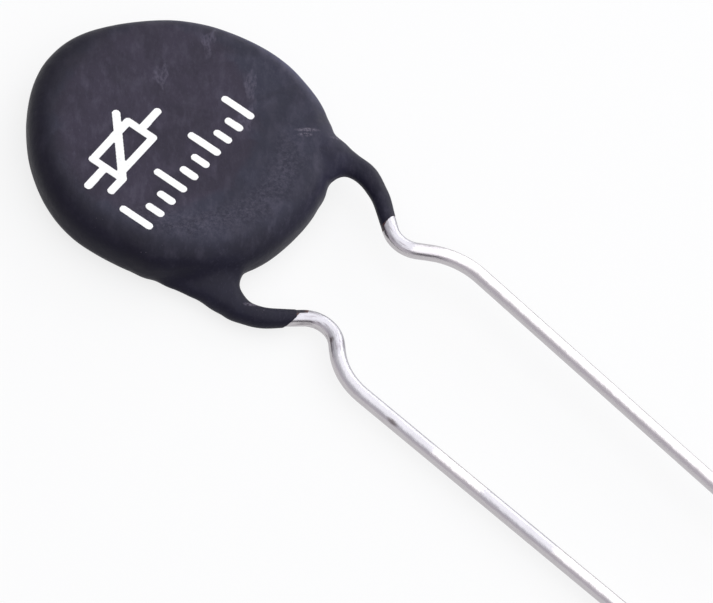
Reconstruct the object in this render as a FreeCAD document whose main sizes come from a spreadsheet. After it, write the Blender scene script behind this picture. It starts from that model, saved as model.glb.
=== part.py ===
import FreeCAD, Part
import math
import os
import Sketcher

# A power NTC thermistor: a sintered oxide disc with silvered faces, a flattened wire soldered
# to each face, and a black dip coat over the disc and the first stretch of both wires.
#
# Frame: the origin is on the flat underside, below the ceramic's centre, +Z is up out of the
# printed face, and +X runs along the wires to their tips. The front wire lies at +Y, on the
# upper face of the disc, and the back wire at -Y, on the lower face.
#
# Sizes are in millimetres and angles in degrees. A heading is an angle in the XY plane,
# counted from +X towards +Y.

SIZES = {
    "ceramic_diameter": "45",
    "ceramic_thickness": "4.2",
    "ceramic_edge_break": "0.3",
    "electrode_margin": "1.5",
    "electrode_thickness": "0.1",
    "wire_diameter": "2.6",
    "wire_tip_break": "0.25",
    "wire_set_down": "0.1",
    "paddle_width": "4.8",
    "paddle_thickness": "1.1",
    "paddle_length": "13",
    "edge_gap": "0.6",
    "neck_length": "4",
    "solder_margin": "0.9",
    "solder_grip": "5",
    "solder_cover": "0.25",
    "solder_slope": "20",
    "coat_at_rim": "1.5",
    "coat_over_paddle": "1",
    "rim_land": "1.2",
    "drip_heading": "183",
    "drip_rise": "1.5",
    "drip_narrowing": "7",
    "drip_blend_widening": "24",
    "swell_heading": "75",
    "swell_rise": "0.75",
    "swell_narrowing": "4",
    "swell_blend_widening": "24",
    "web_cover": "0.9",
    "shoulder_cover": "0.8",
    "sleeve_end_cover": "0.15",
    "front_line_inset": "12.03",
    "front_exit_run": "9.41",
    "front_inner_heading": "13.4",
    "front_exit_bend": "10",
    "front_kink_ahead": "10.6",
    "front_kink_inward": "7.2",
    "front_kink_bend": "4.6",
    "front_set_ahead": "7.7",
    "front_set_outward": "6.4",
    "front_set_bend": "12.5",
    "front_run_length": "66.1",
    "front_run_heading": "-1.6",
    "front_web_width": "7.9",
    "front_web_run": "4.4",
    "front_shoulder_width": "6",
    "front_shoulder_run": "2.9",
    "front_throat_cover": "0.55",
    "front_throat_run": "0.2",
    "front_coat_end": "7.7",
    "back_line_inset": "10.1",
    "back_exit_run": "10.05",
    "back_inner_heading": "0",
    "back_exit_bend": "8",
    "back_kink_ahead": "8.8",
    "back_kink_inward": "10.3",
    "back_kink_bend": "4.7",
    "back_set_ahead": "8.2",
    "back_set_outward": "7.4",
    "back_set_bend": "11.5",
    "back_run_length": "64.5",
    "back_run_heading": "1.2",
    "back_web_width": "11",
    "back_web_run": "6.5",
    "back_shoulder_width": "8.8",
    "back_shoulder_run": "5",
    "back_throat_cover": "0.8",
    "back_throat_run": "0.3",
    "back_coat_end": "7.9",
    "ink_thickness": "0.05",
    "print_heading": "98",
    "print_start": "-61.5",
    "print_inset": "0.6",
    "print_height": "6.2",
    "print_stroke": "1.4",
    "print_row_pitch": "9.2",
    "symbol_width": "11",
    "symbol_tail": "4.6",
    "symbol_slope": "40",
    "symbol_slash": "12.5",
    "symbol_foot": "3",
    "tick_pitch": "3.1",
    "tick_short": "3.4",
}

LEVEL_TOLERANCE = 1e-4

# A rotation keeps the axis that it is made with, and its angle then follows the sheet.
ANY_TURN = 1
UPRIGHT_TURN_AXIS = FreeCAD.Vector(0, 1, 0)
LEVEL_TURN = FreeCAD.Rotation(FreeCAD.Vector(0, 0, 1), ANY_TURN)

doc = FreeCAD.newDocument("inrush_thermistor")


def fill_sheet(name, cells):
    """Write one cell with an alias for each entry, and return the sheet."""
    sheet = doc.addObject("Spreadsheet::Sheet", name)
    for row, (alias, content) in enumerate(cells.items(), start=1):
        sheet.set(f"A{row}", alias)
        sheet.set(f"B{row}", content)
        sheet.setAlias(f"B{row}", alias)
    doc.recompute()
    return sheet


sizes = fill_sheet("sizes", SIZES)


def lead_places(side, outward):
    """Formulas for one wire: its corners, its headings and where its coat begins and ends.

    outward is 1 for the wire at +Y and -1 for the wire at -Y. The inner run lies inside the
    coat's edge by its inset, and reaches past the ceramic's edge by the exit run.
    """
    own = f"sizes.{side}_"
    return {
        f"{side}_cos": f"=cos({own}inner_heading)",
        f"{side}_sin": f"=sin({own}inner_heading)",
        f"{side}_across": f"={outward} * (coat_radius - {own}line_inset)",
        f"{side}_along": f"={own}exit_run + sqrt(neck_radius ^ 2 - {side}_across ^ 2)",
        f"{side}_exit_x": f"={side}_along * {side}_cos - {side}_across * {side}_sin",
        f"{side}_exit_y": f"={side}_along * {side}_sin + {side}_across * {side}_cos",
        f"{side}_kink_x": f"={side}_exit_x + {own}kink_ahead",
        f"{side}_kink_y": f"={side}_exit_y - {outward} * {own}kink_inward",
        f"{side}_set_x": f"={side}_kink_x + {own}set_ahead",
        f"{side}_set_y": f"={side}_kink_y + {outward} * ({own}set_outward)",
        f"{side}_tip_x": f"={side}_set_x + {own}run_length * cos({own}run_heading)",
        f"{side}_tip_y": f"={side}_set_y + {own}run_length * sin({own}run_heading)",
        f"{side}_span": f"=sqrt({own}kink_ahead ^ 2 + {own}kink_inward ^ 2)",
        f"{side}_leg_cos": f"={own}kink_ahead / {side}_span",
        f"{side}_leg_sin": f"=-1 * {outward} * {own}kink_inward / {side}_span",
        f"{side}_leg_heading": f"=-1 * {outward} * atan({own}kink_inward / {own}kink_ahead)",
        f"{side}_exit_turn": f"=abs({side}_leg_heading - {own}inner_heading * 1 deg)",
        f"{side}_throat": f"={own}exit_bend * tan({side}_exit_turn / 2) + {own}throat_run",
        f"{side}_shoulder": f"={side}_throat + {own}shoulder_run",
        f"{side}_web": f"={side}_shoulder + {own}web_run",
    }


def nose_places(name):
    """Formulas for one nose of the coat's outline: its radius, its blends' and its centre's reach."""
    return {
        f"{name}_radius": f"=coat_radius - sizes.{name}_narrowing",
        f"{name}_blend_radius": f"=coat_radius + sizes.{name}_blend_widening",
        f"{name}_reach": f"=sizes.{name}_narrowing + sizes.{name}_rise",
        f"{name}_ahead": f"={name}_reach * cos(sizes.{name}_heading)",
        f"{name}_aside": f"={name}_reach * sin(sizes.{name}_heading)",
    }


worked = fill_sheet("worked", {
    "coat_radius": "=sizes.ceramic_diameter / 2 + sizes.coat_at_rim",
    "electrode_radius": "=sizes.ceramic_diameter / 2 - sizes.electrode_margin",
    "neck_radius": "=sizes.ceramic_diameter / 2 + sizes.edge_gap",
    "electrode_face": "=sizes.ceramic_thickness / 2 + sizes.electrode_thickness",
    "paddle_rise": "=electrode_face + sizes.paddle_thickness / 2",
    "half_coat": "=electrode_face + sizes.paddle_thickness + sizes.coat_over_paddle",
    "coat_thickness": "=2 * half_coat",
    "wire_radius": "=sizes.wire_diameter / 2",
    "wire_rise": "=electrode_face + sizes.paddle_thickness - sizes.wire_set_down - wire_radius",
    "rim_rounding": "=half_coat - sizes.rim_land / 2",
    **nose_places("swell"),
    **nose_places("drip"),
    "print_reach": "=coat_radius - rim_rounding - sizes.print_inset",
    "print_ahead": "=print_reach * cos(sizes.print_start)",
    "print_aside": "=print_reach * sin(sizes.print_start)",
    **lead_places("front", 1),
    **lead_places("back", -1),
})


def number(expression):
    """The present value of an expression on the two sheets."""
    result = sizes.evalExpression(expression)
    return float(getattr(result, "Value", result))


def bind(target, path, expression):
    """Tie one property to the sheets."""
    target.setExpression(path, expression)


def new_body(label):
    """An empty body with a label of its own."""
    body = doc.addObject("PartDesign::Body", label)
    body.Label = label
    return body


def origin_plane(body, role):
    """The body's own origin plane with this role."""
    return next(part for part in body.Origin.OriginFeatures if part.Role == role)


def level_sketch(body, name, height):
    """A sketch parallel to the XY plane at a height given by an expression."""
    sketch = body.newObject("Sketcher::SketchObject", name)
    sketch.AttachmentSupport = [(origin_plane(body, "XY_Plane"), "")]
    sketch.MapMode = "FlatFace"
    sketch.AttachmentOffset = FreeCAD.Placement(FreeCAD.Vector(0, 0, number(height)), FreeCAD.Rotation())
    bind(sketch, ".AttachmentOffset.Base.z", height)
    return sketch


def upright_sketch(body, name, place, heading):
    """A sketch that stands across a heading.

    place holds the expressions for X, Y and Z. The sketch's own x axis points to the left of
    the heading and its y axis points up.
    """
    sketch = body.newObject("Sketcher::SketchObject", name)
    sketch.AttachmentSupport = [(origin_plane(body, "YZ_Plane"), "")]
    sketch.MapMode = "FlatFace"
    ahead, left, up = place
    base = FreeCAD.Vector(number(left), number(up), number(ahead))
    turn = FreeCAD.Rotation(UPRIGHT_TURN_AXIS, ANY_TURN)
    sketch.AttachmentOffset = FreeCAD.Placement(base, turn)
    bind(sketch, ".AttachmentOffset.Base.x", left)
    bind(sketch, ".AttachmentOffset.Base.y", up)
    bind(sketch, ".AttachmentOffset.Base.z", ahead)
    bind(sketch, ".AttachmentOffset.Rotation.Angle", heading)
    return sketch


def size_constraint(sketch, name, expression, kind, *where):
    """Add a dimension to a sketch and tie it to the sheets."""
    index = sketch.addConstraint(Sketcher.Constraint(kind, *where, number(expression)))
    sketch.renameConstraint(index, name)
    bind(sketch, f"Constraints.{name}", expression)


def place_point(sketch, name, geometry, position, left, up):
    """Give a point of a sketch its two coordinates."""
    size_constraint(sketch, f"{name}_x", left, "DistanceX", -1, 1, geometry, position)
    size_constraint(sketch, f"{name}_y", up, "DistanceY", -1, 1, geometry, position)


def add_circle(sketch, diameter):
    """A circle about the sketch's origin."""
    centre = FreeCAD.Vector(0, 0, 0)
    circle = sketch.addGeometry(Part.Circle(centre, FreeCAD.Vector(0, 0, 1), number(diameter) / 2))
    sketch.addConstraint(Sketcher.Constraint("Coincident", circle, 3, -1, 1))
    size_constraint(sketch, "diameter", diameter, "Diameter", circle)


def add_ellipse(sketch, width, height):
    """A level ellipse about the sketch's origin."""
    centre = FreeCAD.Vector(0, 0, 0)
    side = FreeCAD.Vector(number(width) / 2, 0, 0)
    top = FreeCAD.Vector(0, number(height) / 2, 0)
    ellipse = sketch.addGeometry(Part.Ellipse(side, top, centre))
    sketch.exposeInternalGeometry(ellipse)
    long_axis, short_axis = ellipse + 1, ellipse + 2
    sketch.addConstraint(Sketcher.Constraint("Coincident", ellipse, 3, -1, 1))
    sketch.addConstraint(Sketcher.Constraint("Horizontal", long_axis))
    size_constraint(sketch, "ellipse_width", width, "Distance", long_axis)
    size_constraint(sketch, "ellipse_height", height, "Distance", short_axis)


def add_slot(sketch, width, height):
    """A flat bar's section about the sketch's origin: straight faces with round ends."""
    half = number(height) / 2
    reach = number(width) / 2 - half
    up = FreeCAD.Vector(0, 0, 1)
    quarter = math.pi / 2
    left = Part.Circle(FreeCAD.Vector(-reach, 0, 0), up, half)
    right = Part.Circle(FreeCAD.Vector(reach, 0, 0), up, half)
    left_end = sketch.addGeometry(Part.ArcOfCircle(left, quarter, 3 * quarter))
    lower = Part.LineSegment(FreeCAD.Vector(-reach, -half, 0), FreeCAD.Vector(reach, -half, 0))
    lower_face = sketch.addGeometry(lower)
    right_end = sketch.addGeometry(Part.ArcOfCircle(right, -quarter, quarter))
    upper = Part.LineSegment(FreeCAD.Vector(reach, half, 0), FreeCAD.Vector(-reach, half, 0))
    upper_face = sketch.addGeometry(upper)
    sketch.addConstraint(Sketcher.Constraint("Tangent", left_end, 2, lower_face, 1))
    sketch.addConstraint(Sketcher.Constraint("Tangent", lower_face, 2, right_end, 1))
    sketch.addConstraint(Sketcher.Constraint("Tangent", right_end, 2, upper_face, 1))
    sketch.addConstraint(Sketcher.Constraint("Tangent", upper_face, 2, left_end, 1))
    sketch.addConstraint(Sketcher.Constraint("Horizontal", lower_face))
    sketch.addConstraint(Sketcher.Constraint("PointOnObject", left_end, 3, -1))
    size_constraint(sketch, "end_radius", f"({height}) / 2", "Radius", left_end)
    centre_reach = f"(({width}) - ({height})) / 2"
    size_constraint(sketch, "left_reach", centre_reach, "DistanceX", left_end, 3, -1, 1)
    size_constraint(sketch, "right_reach", centre_reach, "DistanceX", -1, 1, right_end, 3)


def add_bent_line(sketch, corners, bends):
    """Straight runs through corners, each inner corner rounded by a tangent arc.

    corners holds pairs of expressions, and bends the radius of each inner corner.
    """
    points = [FreeCAD.Vector(number(x), number(y), 0) for x, y in corners]
    headings = [(after - before).normalize() for before, after in zip(points, points[1:])]
    entries = [points[0]]
    exits = []
    arcs = []
    for index, bend in enumerate(bends, start=1):
        inward, outward = headings[index - 1], headings[index]
        turn = inward.getAngle(outward)
        left = inward.cross(outward).z > 0
        radius = number(bend)
        reach = radius * (1 - inward.dot(outward)) / inward.cross(outward).Length
        start = points[index] - inward * reach
        side = FreeCAD.Vector(-inward.y, inward.x, 0) * (1 if left else -1)
        centre = start + side * radius
        from_centre = FreeCAD.Vector(1, 0, 0)
        ends = [start - centre, points[index] + outward * reach - centre]
        first = ends[0] if left else ends[1]
        angle = first.getAngle(from_centre) * (1 if first.y >= 0 else -1)
        circle = Part.Circle(centre, FreeCAD.Vector(0, 0, 1), radius)
        arcs.append((Part.ArcOfCircle(circle, angle, angle + turn), left))
        exits.append(start)
        entries.append(points[index] + outward * reach)
    exits.append(points[-1])
    runs = [sketch.addGeometry(Part.LineSegment(a, b)) for a, b in zip(entries, exits)]
    for index, (arc, left) in enumerate(arcs):
        bent = sketch.addGeometry(arc)
        first, second = (1, 2) if left else (2, 1)
        sketch.addConstraint(Sketcher.Constraint("Tangent", runs[index], 2, bent, first))
        sketch.addConstraint(Sketcher.Constraint("Tangent", bent, second, runs[index + 1], 1))
        size_constraint(sketch, f"bend_{index}", bends[index], "Radius", bent)
        corner = sketch.addGeometry(Part.Point(points[index + 1]), True)
        sketch.addConstraint(Sketcher.Constraint("PointOnObject", corner, 1, runs[index]))
        sketch.addConstraint(Sketcher.Constraint("PointOnObject", corner, 1, runs[index + 1]))
        place_point(sketch, f"corner_{index}", corner, 1, *corners[index + 1])
    place_point(sketch, "start", runs[0], 1, *corners[0])
    place_point(sketch, "finish", runs[-1], 2, *corners[-1])


def inner_point(side, reach):
    """Expressions for a point on a wire's inner run, back from its exit corner by reach."""
    ahead = f"worked.{side}_exit_x - ({reach}) * worked.{side}_cos"
    left = f"worked.{side}_exit_y - ({reach}) * worked.{side}_sin"
    return ahead, left


def leg_point(side, reach):
    """Expressions for a point past a wire's exit corner, towards its kink."""
    ahead = f"worked.{side}_exit_x + ({reach}) * worked.{side}_leg_cos"
    left = f"worked.{side}_exit_y + ({reach}) * worked.{side}_leg_sin"
    return ahead, left


def corner_point(side, name):
    """Expressions for one of a wire's corners."""
    return f"worked.{side}_{name}_x", f"worked.{side}_{name}_y"


def covered(cover):
    """Expression for the wire's diameter with a coat of this thickness all round."""
    return f"sizes.wire_diameter + 2 * {cover}"


def level(upward, rise):
    """Expression for a height above or below the disc's middle plane."""
    return f"worked.half_coat + ({upward}) * ({rise})"


def add_pad(body, name, sketch, length, backward=False):
    """Extrude a sketch."""
    pad = body.newObject("PartDesign::Pad", name)
    pad.Profile = sketch
    pad.Reversed = backward
    bind(pad, "Length", length)
    return pad


def add_pipe(body, name, sections, path):
    """Carry a section along a path, or change it from one section to the next on the way."""
    pipe = body.newObject("PartDesign::AdditivePipe", name)
    pipe.Profile = sections[0]
    pipe.Spine = (path, [""])
    if sections[1:]:
        pipe.Transformation = "Multisection"
        pipe.Sections = sections[1:]
    return pipe


def add_round(body, name, kind, feature, edges, property_name, size):
    """Break or round chosen edges of a feature."""
    doc.recompute()
    rounded = body.newObject(kind, name)
    rounded.Base = (feature, edges(feature.Shape))
    bind(rounded, property_name, size)
    return rounded


def rim_edges(shape):
    """Names of the edges that lie level at a solid's lowest and highest faces."""
    box = shape.BoundBox
    names = []
    for index, edge in enumerate(shape.Edges, start=1):
        low, high = edge.BoundBox.ZMin, edge.BoundBox.ZMax
        at_face = min(abs(low - box.ZMin), abs(high - box.ZMax)) < LEVEL_TOLERANCE
        if high - low < LEVEL_TOLERANCE and at_face:
            names.append(f"Edge{index}")
    return names


def tip_edge(shape):
    """Name of the edge round a wire's cut tip, its furthest edge along +X."""
    centres = [edge.BoundBox.Center.x for edge in shape.Edges]
    return [f"Edge{centres.index(max(centres)) + 1}"]


def make_ceramic_disc():
    """The sintered disc, with its edges broken by the press tool."""
    body = new_body("ceramic_disc")
    base = "worked.half_coat - sizes.ceramic_thickness / 2"
    outline = level_sketch(body, "ceramic_outline", base)
    add_circle(outline, "sizes.ceramic_diameter")
    blank = add_pad(body, "ceramic_blank", outline, "sizes.ceramic_thickness")
    add_round(body, "ceramic_edges", "PartDesign::Chamfer", blank, rim_edges, "Size",
              "sizes.ceramic_edge_break")
    return body


def make_electrode(side, upward):
    """The fired silver layer on one face of the disc."""
    body = new_body(f"{side}_electrode")
    outline = level_sketch(body, f"{side}_silver_outline", level(upward, "sizes.ceramic_thickness / 2"))
    add_circle(outline, "2 * worked.electrode_radius")
    add_pad(body, f"{side}_silver", outline, "sizes.electrode_thickness", backward=upward < 0)
    return body


def make_lead(side, upward):
    """One tinned wire: the kinked round wire, the neck and the paddle pressed flat at its end."""
    body = new_body(f"{side}_lead")
    heading = f"sizes.{side}_inner_heading"
    wire_level = level(upward, "worked.wire_rise")
    paddle_level = level(upward, "worked.paddle_rise")
    round_end = inner_point(side, f"sizes.{side}_exit_run - sizes.neck_length")
    flat_end = inner_point(side, f"sizes.{side}_exit_run")

    path = level_sketch(body, f"{side}_wire_path", wire_level)
    corners = [round_end] + [corner_point(side, name) for name in ("exit", "kink", "set", "tip")]
    add_bent_line(path, corners, [f"sizes.{side}_{name}_bend" for name in ("exit", "kink", "set")])
    wire_section = upright_sketch(body, f"{side}_wire_section", (*round_end, wire_level), heading)
    add_circle(wire_section, "sizes.wire_diameter")
    wire = add_pipe(body, f"{side}_wire", [wire_section], path)
    add_round(body, f"{side}_wire_tip", "PartDesign::Chamfer", wire, tip_edge, "Size",
              "sizes.wire_tip_break")

    neck_start = upright_sketch(body, f"{side}_neck_start", (*round_end, wire_level), heading)
    add_circle(neck_start, "sizes.wire_diameter")
    neck_end = upright_sketch(body, f"{side}_neck_end", (*flat_end, paddle_level), heading)
    add_slot(neck_end, "sizes.paddle_width", "sizes.paddle_thickness")
    neck = body.newObject("PartDesign::AdditiveLoft", f"{side}_neck")
    neck.Profile = neck_start
    neck.Sections = [neck_end]

    paddle_section = upright_sketch(body, f"{side}_paddle_section", (*flat_end, paddle_level), heading)
    add_slot(paddle_section, "sizes.paddle_width", "sizes.paddle_thickness")
    add_pad(body, f"{side}_paddle", paddle_section, "sizes.paddle_length", backward=True)
    return body


def make_solder(side, upward, lead):
    """The low mound of solder round the paddle, from the silver to just over the paddle."""
    blank = new_body(f"{side}_solder_mound")
    mound_end = f"sizes.{side}_exit_run + sizes.paddle_length - sizes.paddle_width / 2"
    centre = inner_point(side, f"{mound_end} - sizes.solder_grip / 2")
    base = level(upward, "worked.electrode_face")
    outline = level_sketch(blank, f"{side}_solder_outline", base)
    bind(outline, ".AttachmentOffset.Base.x", centre[0])
    bind(outline, ".AttachmentOffset.Base.y", centre[1])
    outline.AttachmentOffset = FreeCAD.Placement(outline.AttachmentOffset.Base, LEVEL_TURN)
    bind(outline, ".AttachmentOffset.Rotation.Angle", f"sizes.{side}_inner_heading")
    width = "(sizes.paddle_width + 2 * sizes.solder_margin)"
    add_slot(outline, f"{width} + sizes.solder_grip", width)
    mound = add_pad(blank, f"{side}_solder_pad", outline, "sizes.paddle_thickness + sizes.solder_cover",
                    backward=upward < 0)
    bind(mound, "TaperAngle", "sizes.solder_slope")
    solder = doc.addObject("Part::Cut", f"{side}_solder")
    solder.Base = blank
    solder.Tool = lead
    return solder


def level_vector(length, heading):
    """A level vector of this length along a heading in radians."""
    return FreeCAD.Vector(length * math.cos(heading), length * math.sin(heading), 0)


def nose_arcs(name):
    """The headings at which a nose leaves the disc and meets it again, and its three arcs.

    Each arc has its centre, its radius and its first and last angle. The middle one is the
    nose itself, and an arc of a larger circle blends each of its sides into the disc.
    """
    disc = number("worked.coat_radius")
    nose = number(f"worked.{name}_radius")
    blend = number(f"worked.{name}_blend_radius")
    reach = number(f"worked.{name}_reach")
    heading = math.radians(number(f"sizes.{name}_heading"))
    inner, outer = blend - disc, blend - nose
    disc_turn = math.acos((outer ** 2 - inner ** 2 - reach ** 2) / (2 * inner * reach))
    nose_turn = math.acos((outer ** 2 - inner ** 2 + reach ** 2) / (2 * outer * reach))
    begin, end = heading - disc_turn, heading + disc_turn
    arcs = [
        (level_vector(-inner, begin), blend, begin, heading - nose_turn),
        (level_vector(reach, heading), nose, heading - nose_turn, heading + nose_turn),
        (level_vector(-inner, end), blend, heading + nose_turn, end),
    ]
    return begin, end, arcs


def add_coat_outline(sketch, names):
    """The coated disc's outline: a circle drawn out to a blunt nose at each of some headings.

    names are the noses in order of their headings. Arcs of the disc's own circle join them.
    """
    disc_radius = number("worked.coat_radius")
    noses = [nose_arcs(name) for name in names]
    first_begin = noses[0][0] + 2 * math.pi
    next_begins = [begin for begin, _, _ in noses[1:]] + [first_begin]
    chain = []
    for (_, end, arcs), next_begin in zip(noses, next_begins):
        for centre, radius, first, last in arcs + [(FreeCAD.Vector(), disc_radius, end, next_begin)]:
            circle = Part.Circle(centre, FreeCAD.Vector(0, 0, 1), radius)
            chain.append(sketch.addGeometry(Part.ArcOfCircle(circle, first, last)))
    for before, after in zip(chain, chain[1:] + chain[:1]):
        sketch.addConstraint(Sketcher.Constraint("Tangent", before, 2, after, 1))
    discs = chain[3::4]
    for disc in discs:
        sketch.addConstraint(Sketcher.Constraint("Coincident", disc, 3, -1, 1))
    for disc in discs[1:]:
        sketch.addConstraint(Sketcher.Constraint("Equal", discs[0], disc))
    size_constraint(sketch, "disc_radius", "worked.coat_radius", "Radius", discs[0])
    for name, before, nose, after in zip(names, chain[0::4], chain[1::4], chain[2::4]):
        sketch.addConstraint(Sketcher.Constraint("Equal", before, after))
        size_constraint(sketch, f"{name}_blend", f"worked.{name}_blend_radius", "Radius", before)
        size_constraint(sketch, f"{name}_radius", f"worked.{name}_radius", "Radius", nose)
        place_point(sketch, f"{name}_centre", nose, 3, f"worked.{name}_ahead", f"worked.{name}_aside")


def add_leg(body, side, upward):
    """The coat on one wire: a web that narrows out of the disc, then a sleeve that tapers."""
    heading = f"sizes.{side}_inner_heading"
    wire_level = level(upward, "worked.wire_rise")
    throat_diameter = covered(f"sizes.{side}_throat_cover")
    web = inner_point(side, f"worked.{side}_web")
    shoulder = inner_point(side, f"worked.{side}_shoulder")
    throat = inner_point(side, f"worked.{side}_throat")
    coat_end = leg_point(side, f"sizes.{side}_coat_end")

    web_start = upright_sketch(body, f"{side}_web_start", (*web, wire_level), heading)
    add_ellipse(web_start, f"sizes.{side}_web_width", covered("sizes.web_cover"))
    web_middle = upright_sketch(body, f"{side}_web_middle", (*shoulder, wire_level), heading)
    add_ellipse(web_middle, f"sizes.{side}_shoulder_width", covered("sizes.shoulder_cover"))
    web_end = upright_sketch(body, f"{side}_web_end", (*throat, wire_level), heading)
    add_circle(web_end, throat_diameter)
    loft = body.newObject("PartDesign::AdditiveLoft", f"{side}_web")
    loft.Profile = web_start
    loft.Sections = [web_middle, web_end]

    path = level_sketch(body, f"{side}_sleeve_path", wire_level)
    add_bent_line(path, [throat, corner_point(side, "exit"), coat_end], [f"sizes.{side}_exit_bend"])
    sleeve_start = upright_sketch(body, f"{side}_sleeve_start", (*throat, wire_level), heading)
    add_circle(sleeve_start, throat_diameter)
    sleeve_end = upright_sketch(body, f"{side}_sleeve_end", (*coat_end, wire_level),
                                f"worked.{side}_leg_heading")
    add_circle(sleeve_end, covered("sizes.sleeve_end_cover"))
    add_pipe(body, f"{side}_sleeve", [sleeve_start, sleeve_end], path)


def make_coating(inner_pieces):
    """The dip coat: a pillow-edged disc with two legs, hollow round all that it seals."""
    outer = new_body("coat_outside")
    outline = level_sketch(outer, "coat_outline", "0")
    add_coat_outline(outline, ["swell", "drip"])
    blank = add_pad(outer, "coat_blank", outline, "worked.coat_thickness")
    add_round(outer, "coat_rim", "PartDesign::Fillet", blank, rim_edges, "Radius", "worked.rim_rounding")
    add_leg(outer, "front", 1)
    add_leg(outer, "back", -1)
    core = doc.addObject("Part::MultiFuse", "sealed_pieces")
    core.Shapes = inner_pieces
    coating = doc.addObject("Part::Cut", "coating")
    coating.Base = outer
    coating.Tool = core
    return coating


def ink_box(name, along, up, width, height):
    """One flat stroke of ink in the print's own frame, where x is the reading direction."""
    box = doc.addObject("Part::Box", name)
    bind(box, "Length", width)
    bind(box, "Width", height)
    bind(box, "Height", "sizes.ink_thickness")
    bind(box, ".Placement.Base.x", along)
    bind(box, ".Placement.Base.y", up)
    return box


def make_face_print():
    """White ink on the front face: a slashed-box symbol over a row of tick strokes."""
    stroke, height, row = "sizes.print_stroke", "sizes.print_height", "sizes.print_row_pitch"
    tail, width = "sizes.symbol_tail", "sizes.symbol_width"
    middle = f"{row} + ({height} - {stroke}) / 2"
    window = doc.addObject("Part::Cut", "symbol_window")
    window.Base = ink_box("symbol_plate", tail, row, width, height)
    window.Tool = ink_box("symbol_hole", f"{tail} + {stroke}", f"{row} + {stroke}",
                          f"{width} - 2 * {stroke}", f"{height} - 2 * {stroke}")
    left_tail = ink_box("symbol_left_tail", "0", middle, tail, stroke)
    right_tail = ink_box("symbol_right_tail", f"{tail} + {width}", middle, tail, stroke)
    run = "sizes.symbol_slash / 2 * cos(sizes.symbol_slope)"
    climb = "sizes.symbol_slash / 2 * sin(sizes.symbol_slope)"
    slash_left = f"{tail} + {width} / 2 - {run}"
    slash_base = f"{row} + {height} / 2 - {climb}"
    slash = ink_box("symbol_slash", slash_left, slash_base, "sizes.symbol_slash", stroke)
    slash.Placement = FreeCAD.Placement(slash.Placement.Base, LEVEL_TURN)
    bind(slash, ".Placement.Rotation.Angle", "sizes.symbol_slope")
    foot = ink_box("symbol_foot", f"{slash_left} - sizes.symbol_foot", slash_base,
                   "sizes.symbol_foot", stroke)
    strokes = [window, left_tail, right_tail, slash, foot]
    for index, tall in enumerate((True, False, False) * 3 + (True,)):
        tick = height if tall else "sizes.tick_short"
        strokes.append(ink_box(f"tick_{index}", f"{index} * sizes.tick_pitch", "0", stroke, tick))
    ink = doc.addObject("Part::MultiFuse", "face_print")
    ink.Shapes = strokes
    ink.Placement = FreeCAD.Placement(FreeCAD.Vector(), LEVEL_TURN)
    bind(ink, ".Placement.Base.x", "worked.print_ahead")
    bind(ink, ".Placement.Base.y", "worked.print_aside")
    bind(ink, ".Placement.Base.z", "worked.coat_thickness")
    bind(ink, ".Placement.Rotation.Angle", "sizes.print_heading")
    return ink


ceramic_disc = make_ceramic_disc()
sealed = [ceramic_disc]
kept = [ceramic_disc]
for side, upward in (("front", 1), ("back", -1)):
    electrode = make_electrode(side, upward)
    lead = make_lead(side, upward)
    solder = make_solder(side, upward, lead)
    sealed += [electrode, lead, solder]
    kept += [electrode, lead, solder]
kept.append(make_coating(sealed))
kept.append(make_face_print())
doc.recompute()

for item in doc.Objects:
    faults = [state for state in item.State if state in ("Invalid", "Error")]
    if faults:
        raise RuntimeError(f"{item.Label} did not build: {faults}")
for item in kept:
    if item.Shape.isNull() or not item.Shape.isValid():
        raise RuntimeError(f"{item.Label} has no valid shape")

os.makedirs("parts", exist_ok=True)
for item in kept:
    item.Shape.exportStep(f"parts/{item.Label}.step")
    box = item.Shape.BoundBox
    print(f"{item.Label}: {len(item.Shape.Solids)} solid, {item.Shape.Volume:.1f} mm3, "
          f"X {box.XMin:.2f} to {box.XMax:.2f}, Y {box.YMin:.2f} to {box.YMax:.2f}, "
          f"Z {box.ZMin:.2f} to {box.ZMax:.2f}")
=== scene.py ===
"""Looks of a round power thermistor: its dip coat, its kinked tinned wires and its face print."""
import logging
import math
from dataclasses import astuple, dataclass
from enum import Enum
from functools import reduce
from typing import Any, Callable, Iterable

import bpy
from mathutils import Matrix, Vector


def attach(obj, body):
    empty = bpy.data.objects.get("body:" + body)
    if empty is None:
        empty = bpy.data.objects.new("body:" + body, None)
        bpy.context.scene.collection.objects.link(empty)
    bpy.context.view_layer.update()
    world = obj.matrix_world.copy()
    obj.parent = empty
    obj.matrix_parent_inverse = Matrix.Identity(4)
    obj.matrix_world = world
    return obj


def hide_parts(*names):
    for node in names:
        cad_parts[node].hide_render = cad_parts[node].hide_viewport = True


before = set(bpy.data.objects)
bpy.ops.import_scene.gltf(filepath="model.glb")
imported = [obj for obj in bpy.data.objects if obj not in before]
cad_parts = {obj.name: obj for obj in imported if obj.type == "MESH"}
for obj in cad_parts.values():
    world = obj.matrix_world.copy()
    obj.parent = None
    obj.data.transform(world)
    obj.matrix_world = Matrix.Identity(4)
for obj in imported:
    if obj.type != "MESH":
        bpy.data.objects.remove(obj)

# A millimetre, and the distance within which two points count as one, both in metres.
MM = 0.001
SAME = 1e-6
BODY = "root"
Pair = tuple[float, float]
Triple = tuple[float, float, float]
Mark = tuple[float, float, float, float]
Colour = tuple[float, float, float, float]
log = logging.getLogger("thermistor")


# Modelling tools.


class Pick(Enum):
    """What an edit-mode selection is made of."""

    VERTICES = (True, False, False)
    EDGES = (False, True, False)
    FACES = (False, False, True)


def rest() -> None:
    """Leave edit mode and let go of everything."""
    if bpy.context.object and bpy.context.object.mode != "OBJECT":
        bpy.ops.object.mode_set(mode="OBJECT")
    bpy.ops.object.select_all(action="DESELECT")


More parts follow.
